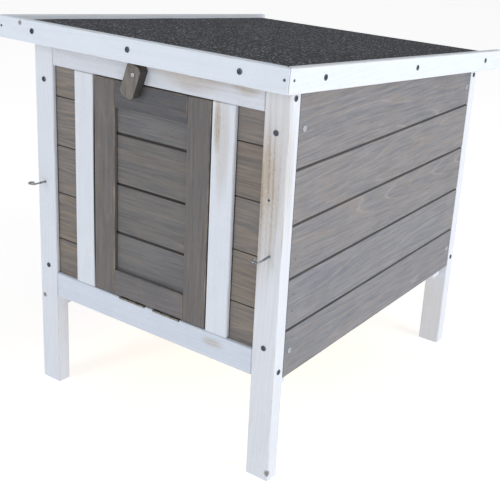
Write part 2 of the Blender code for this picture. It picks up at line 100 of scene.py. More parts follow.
def maths(tree, operation, *values, clamp=False):
    node = add_node(tree, "ShaderNodeMath", {"operation": operation, "use_clamp": clamp})
    for socket, value in zip(node.inputs, values):
        feed(tree, socket, value)
    return node.outputs[0]


def times(tree, a, b):
    return maths(tree, "MULTIPLY", a, b)


def plus(tree, a, b):
    return maths(tree, "ADD", a, b)


def minus(tree, a, b):
    return maths(tree, "SUBTRACT", a, b)


def vector_maths(tree, operation, *values):
    node = add_node(tree, "ShaderNodeVectorMath", {"operation": operation})
    for socket, value in zip(node.inputs, values):
        feed(tree, socket, value)
    return node.outputs["Value" if operation == "LENGTH" else "Vector"]


def blend_colours(tree, amount, under, over, how="MIX"):
    node = add_node(tree, "ShaderNodeMix", {"data_type": "RGBA", "blend_type": how})
    feed(tree, node.inputs[0], amount)
    feed(tree, node.inputs[6], under)
    feed(tree, node.inputs[7], over)
    return node.outputs[2]


def clouds(tree, place, size, detail=2.0, rough=0.5, warp=0.0):
    """Noise whose blobs are about size metres across."""
    return add_node(tree, "ShaderNodeTexNoise", {}, Vector=place, Scale=1 / size, Detail=detail,
                    Roughness=rough, Distortion=warp).outputs["Fac"]


def levels(tree, value, *stops):
    """Remaps a value along stops of (input, output)."""
    node = tree.nodes.new("ShaderNodeValToRGB")
    elements = node.color_ramp.elements
    while len(elements) < len(stops):
        elements.new(1.0)
    for element, (at, grey) in zip(elements, stops):
        element.position = at
        element.color = (grey, grey, grey, 1)
    tree.links.new(value, node.inputs[0])
    return node.outputs["Color"]


def new_finish(name):
    material = bpy.data.materials.new(name)
    material.use_nodes = True
    return material, material.node_tree, material.node_tree.nodes["Principled BSDF"]


# %% [markdown]
# ## Pine under a thin stain
# A sawn board shows the tree's growth rings as long arches, fine fibres between them, and
# here and there a knot. A thin stain doesn't hide that: it sinks into the soft early wood
# and lies thin on the hard late wood, and it wears off at the edges. The rings could be
# drawn with a Wave texture, but its lines are too even. Contour lines of a slow noise that
# is stretched along the board come much closer, so the recipe multiplies such a noise and
# keeps the fraction. The same masks then steer colour, stain cover, roughness and bump.

# %% Timber colours and a spot of anything
STRETCH = {"X": (0.055, 1, 1), "Y": (1, 0.055, 1), "Z": (1, 1, 0.055)}
SHORT = {"X": (0.5, 1, 1), "Y": (1, 0.5, 1), "Z": (1, 1, 0.5)}
PINE = ((0.64, 0.50, 0.33), (0.50, 0.36, 0.21))
DULL_PINE = ((0.52, 0.46, 0.39), (0.33, 0.27, 0.21))
# Knots, and painted shade in the small holes at the door boards' groove ends
KNOT_AND_HOLE_SHADE_BROWN = (0.085, 0.05, 0.03)
# Dirt in the V of the board joints, with painted shade where light doesn't reach
GROOVE_DIRT_AND_SHADE = (0.020, 0.018, 0.018)
# Darker stain and painted shade on the turn button's sides
SIDE_SHADE_AND_STAIN = (0.022, 0.020, 0.019)
# Painted shade in the narrow gaps and corners round the door and boards
PAINTED_GAP_SHADE = (0.020, 0.019, 0.020)


def spot(tree, place, centre, radii, warp_by=None, soft=0.5):
    """A mask: 1 inside an ellipsoid, falling to 0 at its edge."""
    away = vector_maths(tree, "SUBTRACT", place, centre)
    away = vector_maths(tree, "DIVIDE", away, radii)
    distance = vector_maths(tree, "LENGTH", away)
    if warp_by is not None:
        distance = plus(tree, distance, warp_by)
    node = add_node(tree, "ShaderNodeMapRange", {"interpolation_type": "SMOOTHSTEP"}, Value=distance,
                    From_Min=1 - soft, From_Max=1.0, To_Min=1.0, To_Max=0.0)
    return node.outputs[0]


# %% [markdown]
# ## What the wood's patterns are
# Before any colour, the recipe needs its patterns: growth rings, the dark late wood in them,
# fine fibres, wider streaks, soft clouds and tiny specks. No two boards are sawn from the same
# place, so the pattern is shifted by a number that differs from object to object.
# They are kept together in a dictionary, so the later steps can ask for them by name.

# %% Patterns of one board


def board_patterns(tree, grain):
    """Everything about the bare board that stain, wear, roughness and bump are steered by."""
    texture = tree.nodes.new("ShaderNodeTexCoord")
    own = tree.nodes.new("ShaderNodeObjectInfo").outputs["Random"]
    world = texture.outputs["Object"]
    shift = vector_maths(tree, "SCALE", (3.7, 5.3, 7.9))
    feed(tree, shift.node.inputs["Scale"], own)
    place = vector_maths(tree, "ADD", world, shift)
    along = vector_maths(tree, "MULTIPLY", place, STRETCH[grain])
    rings = maths(tree, "FRACT", times(tree, clouds(tree, along, 0.085, 1.2, 0.4, 0.1), 34.0))
    normal = tree.nodes.new("ShaderNodeSeparateXYZ")
    tree.links.new(texture.outputs["Normal"], normal.inputs[0])
    faces = [maths(tree, "ABSOLUTE", normal.outputs[i]) for i in range(3)]
    flattest = maths(tree, "MAXIMUM", maths(tree, "MAXIMUM", faces[0], faces[1]), faces[2])
    return {
        "own": own, "world": world, "place": place, "rings": rings, "normal": normal, "faces": faces,
        "chamfer": maths(tree, "LESS_THAN", flattest, 0.9),
        "late_wood": levels(tree, rings, (0.0, 0.0), (0.45, 0.12), (0.82, 1.0), (1.0, 0.0)),
        "fibres": clouds(tree, along, 0.0035, 4.0, 0.62),
        "streaks": clouds(tree, along, 0.022, 3.0, 0.55),
        "mottle": clouds(tree, place, 0.045, 3.0, 0.6),
        "specks": clouds(tree, vector_maths(tree, "MULTIPLY", place, SHORT[grain]), 0.0032, 3.0, 0.7)}


# %% [markdown]
# ## The stain's own colour
# A brushed stain isn't one colour. It pools in streaks, differs a little from board to board,
# and breaks up over the fibres, and the crests of some rings stay paler. The tone number
# says how strongly it wanders, so one function serves a calm white and a lively grey.

# %% Stain colour


def stain_colour(tree, wood, coat, tone, ring_show, fibre_show):
    tint = plus(tree, times(tree, wood["streaks"], 0.6),
                times(tree, wood["mottle"], 0.4))
    tint = levels(tree, tint, (0.3, 0.0), (0.7, 1.0))
    darker = tuple(c * (1 - 2.6 * tone) for c in coat)
    lighter = tuple(min(1.0, c * (1 + 1.2 * tone)) for c in coat)
    stain = blend_colours(tree, tint, darker, lighter)
    shade = maths(tree, "FRACT", times(tree, wood["own"], 17.3))
    stain = blend_colours(tree, times(tree, shade, tone * 2), stain, (0.0, 0.0, 0.0))
    warm = (1 + 0.7 * tone, 1.0, 1 - 0.6 * tone)
    cool = (1 - 0.8 * tone, 1.0, 1 + 1.0 * tone)
    hue = blend_colours(tree, maths(tree, "FRACT", times(tree, wood["own"], 41.9)), warm, cool)
    stain = blend_colours(tree, 1.0, stain, hue, "MULTIPLY")
    fine = levels(tree, wood["fibres"], (0.36, 0.0), (0.64, 1.0))
    fine = plus(tree, times(tree, fine, 2 * fibre_show), 1 - fibre_show)
    grit = plus(tree, times(tree, wood["specks"], 4 * fibre_show), 1 - 2 * fibre_show)
    stain = blend_colours(tree, 1.0, stain, times(tree, fine, grit), "MULTIPLY")
    crest = levels(tree, wood["rings"], (0.74, 0.0), (0.84, 1.0), (0.90, 0.0))
    some = levels(tree, wood["mottle"], (0.38, 0.0), (0.60, min(0.8, 5 * ring_show)))
    pale = tuple(min(1.0, 1.9 * c) for c in coat)
    return blend_colours(tree, times(tree, crest, some), stain, pale)


# %% [markdown]
# ## Where the stain holds
# The cover of the stain starts at one number and is worn down from there: by late wood, by
# rubbed fibres, by worn edges, by patches where the brush was nearly dry, and on the face
# that looks into the cabin, which was hardly stained at all. What is left, from 0 to 1, is
# how much stain is seen over the timber.

# %% Stain cover


def stain_cover(tree, wood, cover, ring_show, worn_edges, patches, bare):
    hold = minus(tree, cover, times(tree, wood["late_wood"], ring_show))
    rub = plus(tree, wood["fibres"], times(tree, wood["streaks"], 0.35))
    rub = levels(tree, rub, (0.5, 0.0), (0.95, 1.0))
    hold = minus(tree, hold, times(tree, rub, ring_show * 1.6))
    if worn_edges:
        uneven = levels(tree, wood["mottle"], (0.42, 0.05), (0.68, 0.75))
        worn = times(tree, wood["chamfer"], uneven)
        hold = minus(tree, hold, times(tree, worn, worn_edges))
    ragged = times(tree, minus(tree, wood["streaks"], 0.5), 1.6)
    for centre, radii, amount in patches:
        thin = spot(tree, wood["world"], centre, radii, ragged, 0.8)
        broken = plus(tree, times(tree, wood["specks"], 1.5 * amount), 0.25 * amount)
        hold = minus(tree, hold, times(tree, thin, broken))
    if bare is not None:
        side, axis = (1.0 if bare[0] == "+" else -1.0), "XYZ".index(bare[1])
        inside = maths(tree, "GREATER_THAN", times(tree, wood["normal"].outputs[axis], side), 0.5)
        hold = minus(tree, hold, times(tree, inside, cover - 0.12))
    return maths(tree, "MAXIMUM", hold, 0.0)


# %% [markdown]
# ## Knots and painted hole shade
# A knot is where a branch grew. Scattered ones come from a Voronoi texture with large cells,
# of which only a few are allowed to show. A knot that has its own known place is a soft ball
# of colour there, with a rippled edge, and so is the painted shade in a small dark hole.

# %% Knots and painted hole shade


def knots_and_hole_shades_in(tree, wood, grain, share, marked):
    """A mask of knots and of painted shade in small holes, or None: a share of scattered cells, and the
    marked ones.
    """
    mask = None
    if share:
        squeeze = {"X": (0.6, 1, 1), "Y": (1, 0.6, 1), "Z": (1, 1, 0.6)}[grain]
        cells = add_node(tree, "ShaderNodeTexVoronoi", {}, Scale=1 / 0.105,
                         Vector=vector_maths(tree, "MULTIPLY", wood["place"], squeeze))
        chosen = tree.nodes.new("ShaderNodeSeparateColor")
        tree.links.new(cells.outputs["Color"], chosen.inputs[0])
        chosen = maths(tree, "LESS_THAN", chosen.outputs[0], share)
        near = plus(tree, cells.outputs["Distance"], times(tree, wood["fibres"], 0.03))
        mask = times(tree, chosen, levels(tree, near, (0.035, 0.85), (0.075, 0.0)))
    ripple = times(tree, minus(tree, wood["mottle"], 0.5), 0.7)
    for centre, radius in marked:
        one = spot(tree, wood["world"], centre, (radius, radius, radius), ripple, 0.6)
        one = times(tree, one, 0.75)
        mask = one if mask is None else maths(tree, "MAXIMUM", mask, one)
    return mask


# %% [markdown]
# ## Putting the timber together
# The last function stacks the steps as they lie on the wood: timber, stain over it where it
# holds, dirt and painted shade in the V of the joints, painted shade in gaps and corners,
# darker sides, then knots and the painted shade of small holes. The painted shade is colour
# fixed on the wood, so it stays put when the door opens, and it's kept to thin lines.

# %% Stained pine


def stained_pine(name, grain, coat, cover, tone=0.05, ring_show=0.12, knots=0.0, bare=None,
                 patches=(), marked_knots_and_hole_shades=(), groove_dark=0.0, rough=0.62, weather=0.5,
                 fibre_show=0.10, painted_shades=(), wood=PINE, dark_sides=0.0):
    """Pine with its grain along one axis, under a stain of the given colour and cover.

    bare is the direction that the unstained inner face looks in. patches are places where
    the stain is thin, painted_shades are places of painted shade in gaps and corners, and
    marked_knots_and_hole_shades are knots, and the painted shade of small holes, in their
    own places. groove_dark darkens the V of a board's joints with dirt and painted shade,
    and dark_sides darkens the sawn sides with a darker stain and painted shade.
    """
    material, tree, shader = new_finish(name)
    board = board_patterns(tree, grain)
    timber = blend_colours(tree, board["late_wood"], *wood)
    timber = blend_colours(tree, times(tree, board["fibres"], 0.4), timber, wood[1])
    stain = stain_colour(tree, board, coat, tone, ring_show, fibre_show)
    worn_edges = 0.0 if groove_dark else weather
    hold = stain_cover(tree, board, cover, ring_show, worn_edges, patches, bare)
    colour = blend_colours(tree, hold, timber, stain)
    # Dirt and painted shade darken the V of the joints
    if groove_dark:
        darkening = levels(tree, board["streaks"], (0.3, groove_dark), (0.75, 0.7 * groove_dark))
        colour = blend_colours(tree, times(tree, board["chamfer"], darkening), colour, GROOVE_DIRT_AND_SHADE)
    # Darker stain and painted shade on the faces that don't look along Y
    if dark_sides:
        side_darkening = times(tree, maths(tree, "LESS_THAN", board["faces"][1], 0.6), dark_sides)
        colour = blend_colours(tree, side_darkening, colour, SIDE_SHADE_AND_STAIN)
    # Painted shade: thin near-black lines in the gaps and corners where shade falls
    for centre, radii, amount in painted_shades:
        darkening = times(tree, spot(tree, board["world"], centre, radii, None, 0.35), amount)
        colour = blend_colours(tree, darkening, colour, PAINTED_GAP_SHADE)
    # Knots, and painted shade in small holes, as dark brown spots
    knot_and_hole_shade_mask = knots_and_hole_shades_in(tree, board, grain, knots, marked_knots_and_hole_shades)
    if knot_and_hole_shade_mask is not None:
        colour = blend_colours(tree, knot_and_hole_shade_mask, colour, KNOT_AND_HOLE_SHADE_BROWN)
    feed(tree, shader.inputs["Base Color"], colour)
    dull = plus(tree, times(tree, board["streaks"], 0.22), rough - 0.11)
    feed(tree, shader.inputs["Roughness"], dull)
    shader.inputs["Specular IOR Level"].default_value = 0.35
    raised = plus(tree, times(tree, board["late_wood"], 0.35),
                  times(tree, board["fibres"], 0.8))
    raised = plus(tree, raised, times(tree, board["mottle"], 0.5))
    bump = add_node(tree, "ShaderNodeBump", {}, Strength=0.55, Distance=0.0005, Height=raised)
    feed(tree, shader.inputs["Normal"], bump.outputs["Normal"])
    return material


# %% [markdown]
# ## Which timber goes where
# The frame, rails and fascias are white, the boards and the door grey, and the floor and the
# roof board are bare. The stain was brushed on once the hutch was together, so faces that
# look into the cabin have hardly any. A recipe is made for each direction of the grain,
# because a leg's grain runs up and a rail's runs across. Where the stain is thin, as on the
# top rail to the right of the turn button, the warm pine shows through in soft patches.

# %% White frame timber

WHITE = (0.735, 0.79, 0.885)


def on_front(x, z):
    """A point on the front faces, from millimetres."""
    return (x * MM, FRONT, z * MM)


def paint(material, *names):
    """Gives CAD pieces one finish instead of their plain colours."""
    for name in names:
        NODES[name].data.materials.clear()
        NODES[name].data.materials.append(material)


# Painted shade on the inner sides of the posts, in the gaps beside the door
GAP_SHADES = [((side * 0.109, FRONT + 0.0028, 0.365), (0.0012, 0.0036, 0.175), 0.9)
              for side in (-1, 1)]           # the sides of the doorway, over the door's height
white_upright = stained_pine(
    "white_stain_upright", "Z", WHITE, 0.965, tone=0.018, ring_show=0.055, rough=0.6, fibre_show=0.03,
    patches=[(on_front(206, 425), (0.045, 0.02, 0.20), 0.62),
             (on_front(200, 450), (0.02, 0.02, 0.09), 0.35),
             (on_front(118, 505), (0.007, 0.01, 0.05), 0.6),
             (on_front(128, 470), (0.016, 0.02, 0.09), 0.35)],
    marked_knots_and_hole_shades=[(on_front(-222, 151), 0.005), (on_front(229, 14), 0.007)],
    painted_shades=GAP_SHADES, wood=DULL_PINE)
white_across = stained_pine(
    "white_stain_across", "X", (0.665, 0.725, 0.83), 0.965, tone=0.03, ring_show=0.05,
    rough=0.6, fibre_show=0.04,
    patches=[(on_front(75, 556), (0.085, 0.02, 0.03), 0.5),
             (on_front(165, 558), (0.03, 0.02, 0.022), 0.55),
             (on_front(-60, 565), (0.05, 0.02, 0.01), 0.2),
             (on_front(122, 184), (0.024, 0.02, 0.008), 0.45)], wood=DULL_PINE)
BRIGHT_WHITE = (0.745, 0.825, 0.93)
white_fascia = stained_pine("white_stain_fascia", "X", BRIGHT_WHITE, 0.97, tone=0.012, ring_show=0.04,
                            rough=0.6, fibre_show=0.02, wood=DULL_PINE,
                            marked_knots_and_hole_shades=[((-0.209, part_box("front_fascia")[0].y, 0.596), 0.005)])
white_rafter = stained_pine("white_stain_along", "Y", (0.76, 0.82, 0.905), 0.97, tone=0.012, ring_show=0.04,
                            rough=0.6, fibre_show=0.02)

paint(white_upright, *[f"{end}_{side}_{kind}" for end in ("front", "rear") for side in ("left", "right")
                       for kind in ("leg", "batten")], "left_door_post", "right_door_post")
paint(white_across, "front_top_rail", "front_bottom_rail", "rear_top_rail", "rear_bottom_rail")
paint(white_fascia, "front_fascia")
paint(white_rafter, "left_fascia", "right_fascia")
print("white timber on legs, posts, battens, rails and fascias")

# %% [markdown]
# ## Grey boards and door
# The boards and the door have the same brushed stain in greys that aren't quite equal: each
# piece took it up in its own way, so stile, rail, infill and side boards have their own tint.
# The shade in the gaps where a board meets a post, and round the door, is painted on as dark
# colour, and the V of the joints is darkened with dirt and painted shade. It could be left to
# the light, but the gaps are under a millimetre wide, so it's given as colour in thin lines.

# %% Grey boards, grey door and bare timber

GREY = (0.092, 0.104, 0.130)
GREY_BLUE = (0.046, 0.066, 0.100)
GREY_BROWN = (0.102, 0.112, 0.136)
GREY_LILAC = (0.152, 0.176, 0.222)

# Painted shade: holes at the groove ends, recess corners, the gap over the door
GROOVE_END_HOLE_SHADES = [((-0.0655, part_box("door_board_1")[0].y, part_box(f"door_board_{i}")[1].z), 0.0028)
               for i in (1, 2, 3)]
CORNER_SHADES = [((x, FRONT + 0.006, 0.365), (0.0022, 0.004, 0.2), 0.8) for x in (-0.192, 0.147)]
DOOR_CORNER_SHADE = [((-0.067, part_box("door_board_1")[0].y, 0.365), (0.0020, 0.004, 0.16), 0.7)]
DOOR_TOP_GAP_SHADE = [((0, FRONT + 0.011, 0.530), (0.115, 0.0095, 0.0012), 0.9)]
grey_stile = stained_pine("grey_stain_stile", "Z", GREY, 0.93, tone=0.05, ring_show=0.06, bare="+Y",
                          painted_shades=DOOR_TOP_GAP_SHADE)
grey_door_rail = stained_pine("grey_stain_rail", "X", GREY, 0.93, tone=0.05, ring_show=0.06, bare="+Y")
grey_top_rail = stained_pine("blue_grey_stain_rail", "X", GREY_BLUE, 0.94, tone=0.06,
                             ring_show=0.05, bare="+Y", painted_shades=DOOR_TOP_GAP_SHADE)
grey_door_board = stained_pine("grey_stain_door_board", "X", (0.076, 0.100, 0.134), 0.92, tone=0.05,
                               ring_show=0.08, knots=0.05, bare="+Y", groove_dark=0.92,
                               marked_knots_and_hole_shades=GROOVE_END_HOLE_SHADES, painted_shades=DOOR_CORNER_SHADE)
grey_infill = stained_pine("grey_stain_infill", "X", GREY_BROWN, 0.90, tone=0.06, ring_show=0.12,
                           bare="+Y", groove_dark=0.95, painted_shades=CORNER_SHADES)
grey_rear = stained_pine("grey_stain_rear_board", "X", GREY_LILAC, 0.92, tone=0.05, ring_show=0.13,
                         knots=0.12, bare="-Y", groove_dark=0.75)
side_boards = {
    "left": stained_pine("grey_stain_left_board", "Y", GREY_LILAC, 0.94, tone=0.05, ring_show=0.11,
                         knots=0.2, bare="+X", groove_dark=0.75),
    "right": stained_pine("grey_stain_right_board", "Y", GREY_LILAC, 0.94, tone=0.05, ring_show=0.11,
                          knots=0.2, bare="-X", groove_dark=0.75)}
bare_across = stained_pine("bare_pine_across", "X", PINE[0], 0.25, tone=0.06, ring_show=0.1, knots=0.1)
bare_along = stained_pine("bare_pine_along", "Y", PINE[0], 0.25, tone=0.06, ring_show=0.1)
# Its sides are darkened with stain and painted shade
grey_button = stained_pine("grey_stain_button", "Z", (0.120, 0.127, 0.140), 0.93, tone=0.05, ring_show=0.06,
                           fibre_show=0.24, weather=0.1, dark_sides=0.75)


paint(grey_stile, "left_door_stile", "right_door_stile")
paint(grey_door_rail, "bottom_door_rail")
paint(grey_top_rail, "top_door_rail")
paint(grey_door_board, *[f"door_board_{i}" for i in range(1, 5)])
paint(grey_infill, "front_left_panel", "front_right_panel")
paint(grey_rear, *[f"rear_board_{i}" for i in range(1, 5)])
for side, material in side_boards.items():
    paint(material, *[f"{side}_side_board_{i}" for i in range(1, 6)])
paint(bare_across, "floor_panel")
paint(bare_along, "left_floor_bearer", "right_floor_bearer", "roof_board")
print("grey and bare timber on boards, door, floor and roof board")

# %% [markdown]
# ## Mineral felt
# Roofing felt is bitumen-soaked cloth with crushed slate rolled into its top. From a step
# away it's a dull charcoal with a fine pale sparkle, because each grain catches the light on
# its own. Tiny Voronoi cells stand for the grains: each cell has its own grey, a few are
# nearly white, as pale grains and as painted glints, and the same cells lift the surface a little.

# %% The felt recipe


def mineral_felt():
    material, tree, shader = new_finish("mineral_felt")
    place = tree.nodes.new("ShaderNodeTexCoord").outputs["Object"]
    grains = add_node(tree, "ShaderNodeTexVoronoi", {}, Vector=place, Scale=1 / 0.0021)
    grey = tree.nodes.new("ShaderNodeSeparateColor")
    tree.links.new(grains.outputs["Color"], grey.inputs[0])
    # The nearly white cells are pale grains and painted glints of light
    shade = levels(tree, grey.outputs[0], (0.0, 0.0), (0.80, 0.02), (0.90, 0.25), (1.0, 1.0))
    scuffs = clouds(tree, place, 0.10, 4.0, 0.6)
    colour = blend_colours(tree, shade, (0.012, 0.014, 0.020), (0.40, 0.43, 0.50))
    scuffed = levels(tree, scuffs, (0.45, 0.0), (0.75, 0.16))
    colour = blend_colours(tree, scuffed, colour, (0.09, 0.095, 0.105))
    feed(tree, shader.inputs["Base Color"], colour)
    feed(tree, shader.inputs["Roughness"], levels(tree, grey.outputs[1], (0.0, 0.75), (1.0, 0.95)))
    height = plus(tree, grains.outputs["Distance"], times(tree, grey.outputs[0], 0.5))
    bump = add_node(tree, "ShaderNodeBump", {}, Strength=0.5, Distance=0.0006, Height=height)
    feed(tree, shader.inputs["Normal"], bump.outputs["Normal"])
    return material


felt_finish = mineral_felt()
paint(felt_finish, "roof_felt")

# %% [markdown]
# ## Metal
# Screws, nails, hooks and hinges are steel with zinc on it, and have lain out in the weather.
# A single grey would look like plastic, so a fine noise turns bright plating into dull spots
# and roughens it there. One recipe makes four metals that differ only in colour and wear.

# %% Metal finishes


def worn_metal(name, bright, dull, rough, spots=0.3):
    """Plated steel: even when new, then dulled in small spots."""
    material, tree, shader = new_finish(name)
    place = tree.nodes.new("ShaderNodeTexCoord").outputs["Object"]
    marks = clouds(tree, place, 0.0022, 4.0, 0.65)
    mask = levels(tree, marks, (0.4, 0.0), (0.4 + spots, 1.0))
    feed(tree, shader.inputs["Base Color"], blend_colours(tree, mask, bright, dull))
    dull_spots = plus(tree, times(tree, marks, 0.35), rough - 0.15)
    feed(tree, shader.inputs["Roughness"], dull_spots)
    shader.inputs["Metallic"].default_value = 1.0
    bump = add_node(tree, "ShaderNodeBump", {}, Strength=0.25, Distance=0.0001, Height=marks)
    feed(tree, shader.inputs["Normal"], bump.outputs["Normal"])
    return material


zinc = worn_metal("zinc_plate", (0.66, 0.68, 0.72), (0.30, 0.32, 0.36), 0.34)
dark_steel = worn_metal("dark_steel", (0.13, 0.15, 0.19), (0.035, 0.04, 0.055), 0.36)
wire_metal = worn_metal("wire_zinc", (0.50, 0.53, 0.57), (0.12, 0.13, 0.15), 0.30, spots=0.2)
hinge_metal = worn_metal("old_zinc", (0.30, 0.29, 0.27), (0.12, 0.11, 0.10), 0.42)
print("metal finishes:", zinc.name, dark_steel.name, hinge_metal.name)

# %% [markdown]
# ## Making a piece and giving it a place
# A new piece starts as a bmesh shape of its real size, at its real place, and its object
# stays at the origin. Soft edges matter more than anything else here: a real batten's edge
# is rounded by the plane and the brush, and that thin bright line along it is what tells
# wood from a computer's box. So nearly every shape gets a small bevel with its own radius.

# %% Helpers for new pieces


def finish_piece(bm, name, material, slot, body, *replaced, smooth=0.0):
    """Makes an object of a bmesh, gives it a finish and a moving body to ride on."""
    bmesh.ops.recalc_face_normals(bm, faces=bm.faces)
    mesh = bpy.data.meshes.new(name)
    bm.to_mesh(mesh)
    bm.free()
    mesh.materials.append(material)
    if smooth:
        mesh.shade_smooth()
        mesh.set_sharp_from_angle(angle=math.radians(smooth))
    piece = bpy.data.objects.new(name, mesh)
    bpy.context.scene.collection.objects.link(piece)
    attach(piece, body)
    if replaced:
        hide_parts(*replaced)
    return piece


def block(bm, low, high, edge=0.0, segments=2):
    """Adds a box between two corners, with rounded edges, and returns its vertices."""
    low, high = Vector(low), Vector(high)
    made = bmesh.ops.create_cube(bm, size=1.0, matrix=Matrix.Translation((low + high) / 2)
                                 @ Matrix.Diagonal((*(high - low), 1)))["verts"]
    if edge:
        edges = list({e for v in made for e in v.link_edges})
        bevelled = bmesh.ops.bevel(bm, geom=edges, offset=edge, segments=segments, profile=0.5,
                                   affect="EDGES", material=-1)
        made = list({v for f in bevelled["faces"] for v in f.verts} | {v for v in made if v.is_valid})
    return made


def drum(bm, radius, depth, place, edge=0.0, sides=24, tip=None):
    """Adds a short cylinder or cone about its own Z, with its rims rounded, put at a place."""
    made = bmesh.ops.create_cone(bm, cap_ends=True, segments=sides, radius1=radius,
                                 radius2=radius if tip is None else tip, depth=depth)["verts"]
    if edge:
        rims = [e for e in {e for v in made for e in v.link_edges}
                if abs(e.verts[0].co.z - e.verts[1].co.z) < depth / 2]
        bevelled = bmesh.ops.bevel(bm, geom=rims, offset=edge, segments=2, profile=0.5,
                                   affect="EDGES", material=-1)
        made = list({v for f in bevelled["faces"] for v in f.verts} | {v for v in made if v.is_valid})
    bmesh.ops.transform(bm, matrix=place, verts=made)
    return made


def carve(bm, tool_bm, operation="DIFFERENCE"):
    """Cuts one bmesh with another and returns the result as a new bmesh."""
    objects = []
    for name, source in (("blank", bm), ("tool", tool_bm)):
        mesh = bpy.data.meshes.new(name)
        source.to_mesh(mesh)
        source.free()
        thing = bpy.data.objects.new(name, mesh)
        bpy.context.scene.collection.objects.link(thing)
        objects.append(thing)
    blank, tool = objects
    cut = blank.modifiers.new("cut", "BOOLEAN")
    cut.operation = operation
    cut.solver = "EXACT"
    cut.object = tool
    result = bmesh.new()
    evaluated = blank.evaluated_get(bpy.context.evaluated_depsgraph_get())
    result.from_mesh(evaluated.to_mesh())
    evaluated.to_mesh_clear()
    for thing in objects:
        mesh = thing.data
        bpy.data.objects.remove(thing, do_unlink=True)
        bpy.data.meshes.remove(mesh)
    bmesh.ops.remove_doubles(result, verts=result.verts, dist=1e-6)
    return result


# %% [markdown]
# ## Short boards beside the doorway
# Each side of the doorway is filled with short tongue-and-groove boards, slipped into
# grooves in the leg and the post. The CAD has them as one panel. Separate boards look right
# because each one has its own grain and tint, so they are made one by one: a box a board
# high, with the two front edges that meet its neighbours planed off to make the V.

# %% Infill boards
BOARD_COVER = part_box("right_side_board_3")[0].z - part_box("right_side_board_2")[0].z
TOP_BOARD_SHOWS = 47 * MM
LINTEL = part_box("front_top_rail")[0].z
INFILL_JOINTS = [LINTEL - TOP_BOARD_SHOWS - BOARD_COVER * i for i in (3, 2, 1, 0)]
VEE = 2 * MM


def infill_board(name, low, high, vee_below, vee_above, panel):
    bm = bmesh.new()
    block(bm, low, high)
    for level, wanted in ((low.z, vee_below), (high.z, vee_above)):
        if wanted:
            corner = [e for e in bm.edges
                      if all(abs(v.co.z - level) < 1e-6 and abs(v.co.y - low.y) < 1e-6 for v in e.verts)]
            bmesh.ops.bevel(bm, geom=corner, offset=VEE, segments=3, profile=0.5,
                            affect="EDGES", material=-1)
    return finish_piece(bm, name, grey_infill, "grey_stained_pine", "cabinet", *panel)


for side in ("left", "right"):
    panel_low, panel_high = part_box(f"front_{side}_panel")
    levels_up = [panel_low.z, *INFILL_JOINTS, panel_high.z]
    for i, (bottom, top) in enumerate(zip(levels_up, levels_up[1:])):
        infill_board(f"{side}_infill_board_{i + 1}", Vector((panel_low.x, panel_low.y, bottom)),
                     Vector((panel_high.x, panel_high.y, top)), i > 0, i < len(levels_up) - 2,
                     [f"front_{side}_panel"] if i == 0 else [])
print("infill boards:", 2 * (len(INFILL_JOINTS) + 1))

# %% [markdown]
# ## Felt that folds over the rear edge
# The felt is laid from the front fascia back, and its rear end is folded down over the edge
# of the roof board and held with flat-headed nails. It's made as a person would lay it: the
# line that it follows is drawn once, from front to back and down, and pulled across the roof
# with spin, whose dvec option slides it in steps instead of turning it. Felt never lies quite
# flat, so its points are lifted a little by smooth noise before Solidify gives it thickness.

# %% Roof felt
ROOF_SLOPE = math.radians(4.8)
ROOF_FRAME = Matrix.Translation(JOINTS["roof_hinge"]["pos_m"]) @ Matrix.Rotation(-ROOF_SLOPE, 4, "X")


def roof_box(node):
    """A CAD node's corners in the roof's own frame: y down the slope, z square to it."""
    places = [ROOF_FRAME.inverted() @ v.co for v in NODES[node].data.vertices]
    return (Vector(min(p[i] for p in places) for i in range(3)),
            Vector(max(p[i] for p in places) for i in range(3)))


def lay_felt():
    low, high = roof_box("roof_felt")
    board_low, _ = roof_box("roof_board")
    thick = 2.2 * MM
    round_over = 4 * MM
    hang = board_low.z + 0.5 * MM
    steps_down = 70
    flat = high.y - low.y - round_over + thick
    line = [(low.y + flat * i / steps_down, high.z) for i in range(steps_down + 1)]
    corner_y, corner_z = line[-1][0], high.z - round_over
    line += [(corner_y + round_over * math.sin(a), corner_z + round_over * math.cos(a))
             for a in (math.radians(22.5 * k) for k in range(1, 5))]
    line += [(corner_y + round_over, corner_z - (corner_z - hang) * k / 3) for k in range(1, 4)]
    bm = bmesh.new()
    verts = [bm.verts.new((low.x + 0.2 * MM, y, z)) for y, z in line]
    edges = [bm.edges.new(pair) for pair in zip(verts, verts[1:])]
    across = 56
    bmesh.ops.spin(bm, geom=verts + edges, cent=(0, 0, 0), axis=(1, 0, 0), angle=0, steps=across,
                   dvec=((high.x - low.x - 0.4 * MM) / across, 0, 0), use_merge=False)
    for v in bm.verts:
        lift = noise.noise(v.co * 9) * 0.5 + noise.noise(v.co * 31) * 0.2
        fall = min(1.0, (corner_y - v.co.y) / 0.03) if v.co.y < corner_y else 0.0
        v.co.z += 0.9 * MM * lift * fall
    bmesh.ops.recalc_face_normals(bm, faces=bm.faces)
    if sum(f.normal.z for f in bm.faces) < 0:
        bmesh.ops.reverse_faces(bm, faces=bm.faces)
    bmesh.ops.solidify(bm, geom=bm.faces, thickness=thick)
    bmesh.ops.transform(bm, matrix=ROOF_FRAME, verts=bm.verts)
    return finish_piece(bm, "felt_sheet", felt_finish, "roof_felt", "roof", "roof_felt", smooth=40)


felt_sheet = lay_felt()
print("felt triangles:", 2 * len(felt_sheet.data.polygons))

# %% [markdown]
# ## Screws, nails and brads
# The heads are the only fasteners to be seen. A countersunk screw shows a flat disc with a
# cross recess, a nail a smaller plain disc, a brad hardly more than a dot. One head of each
# sort is modelled with care and then set wherever it's needed, turned a bit differently each
# time, because nobody stops every screw at the same angle. All heads of a kind on one moving
# body become one piece.

# %% One head of each sort


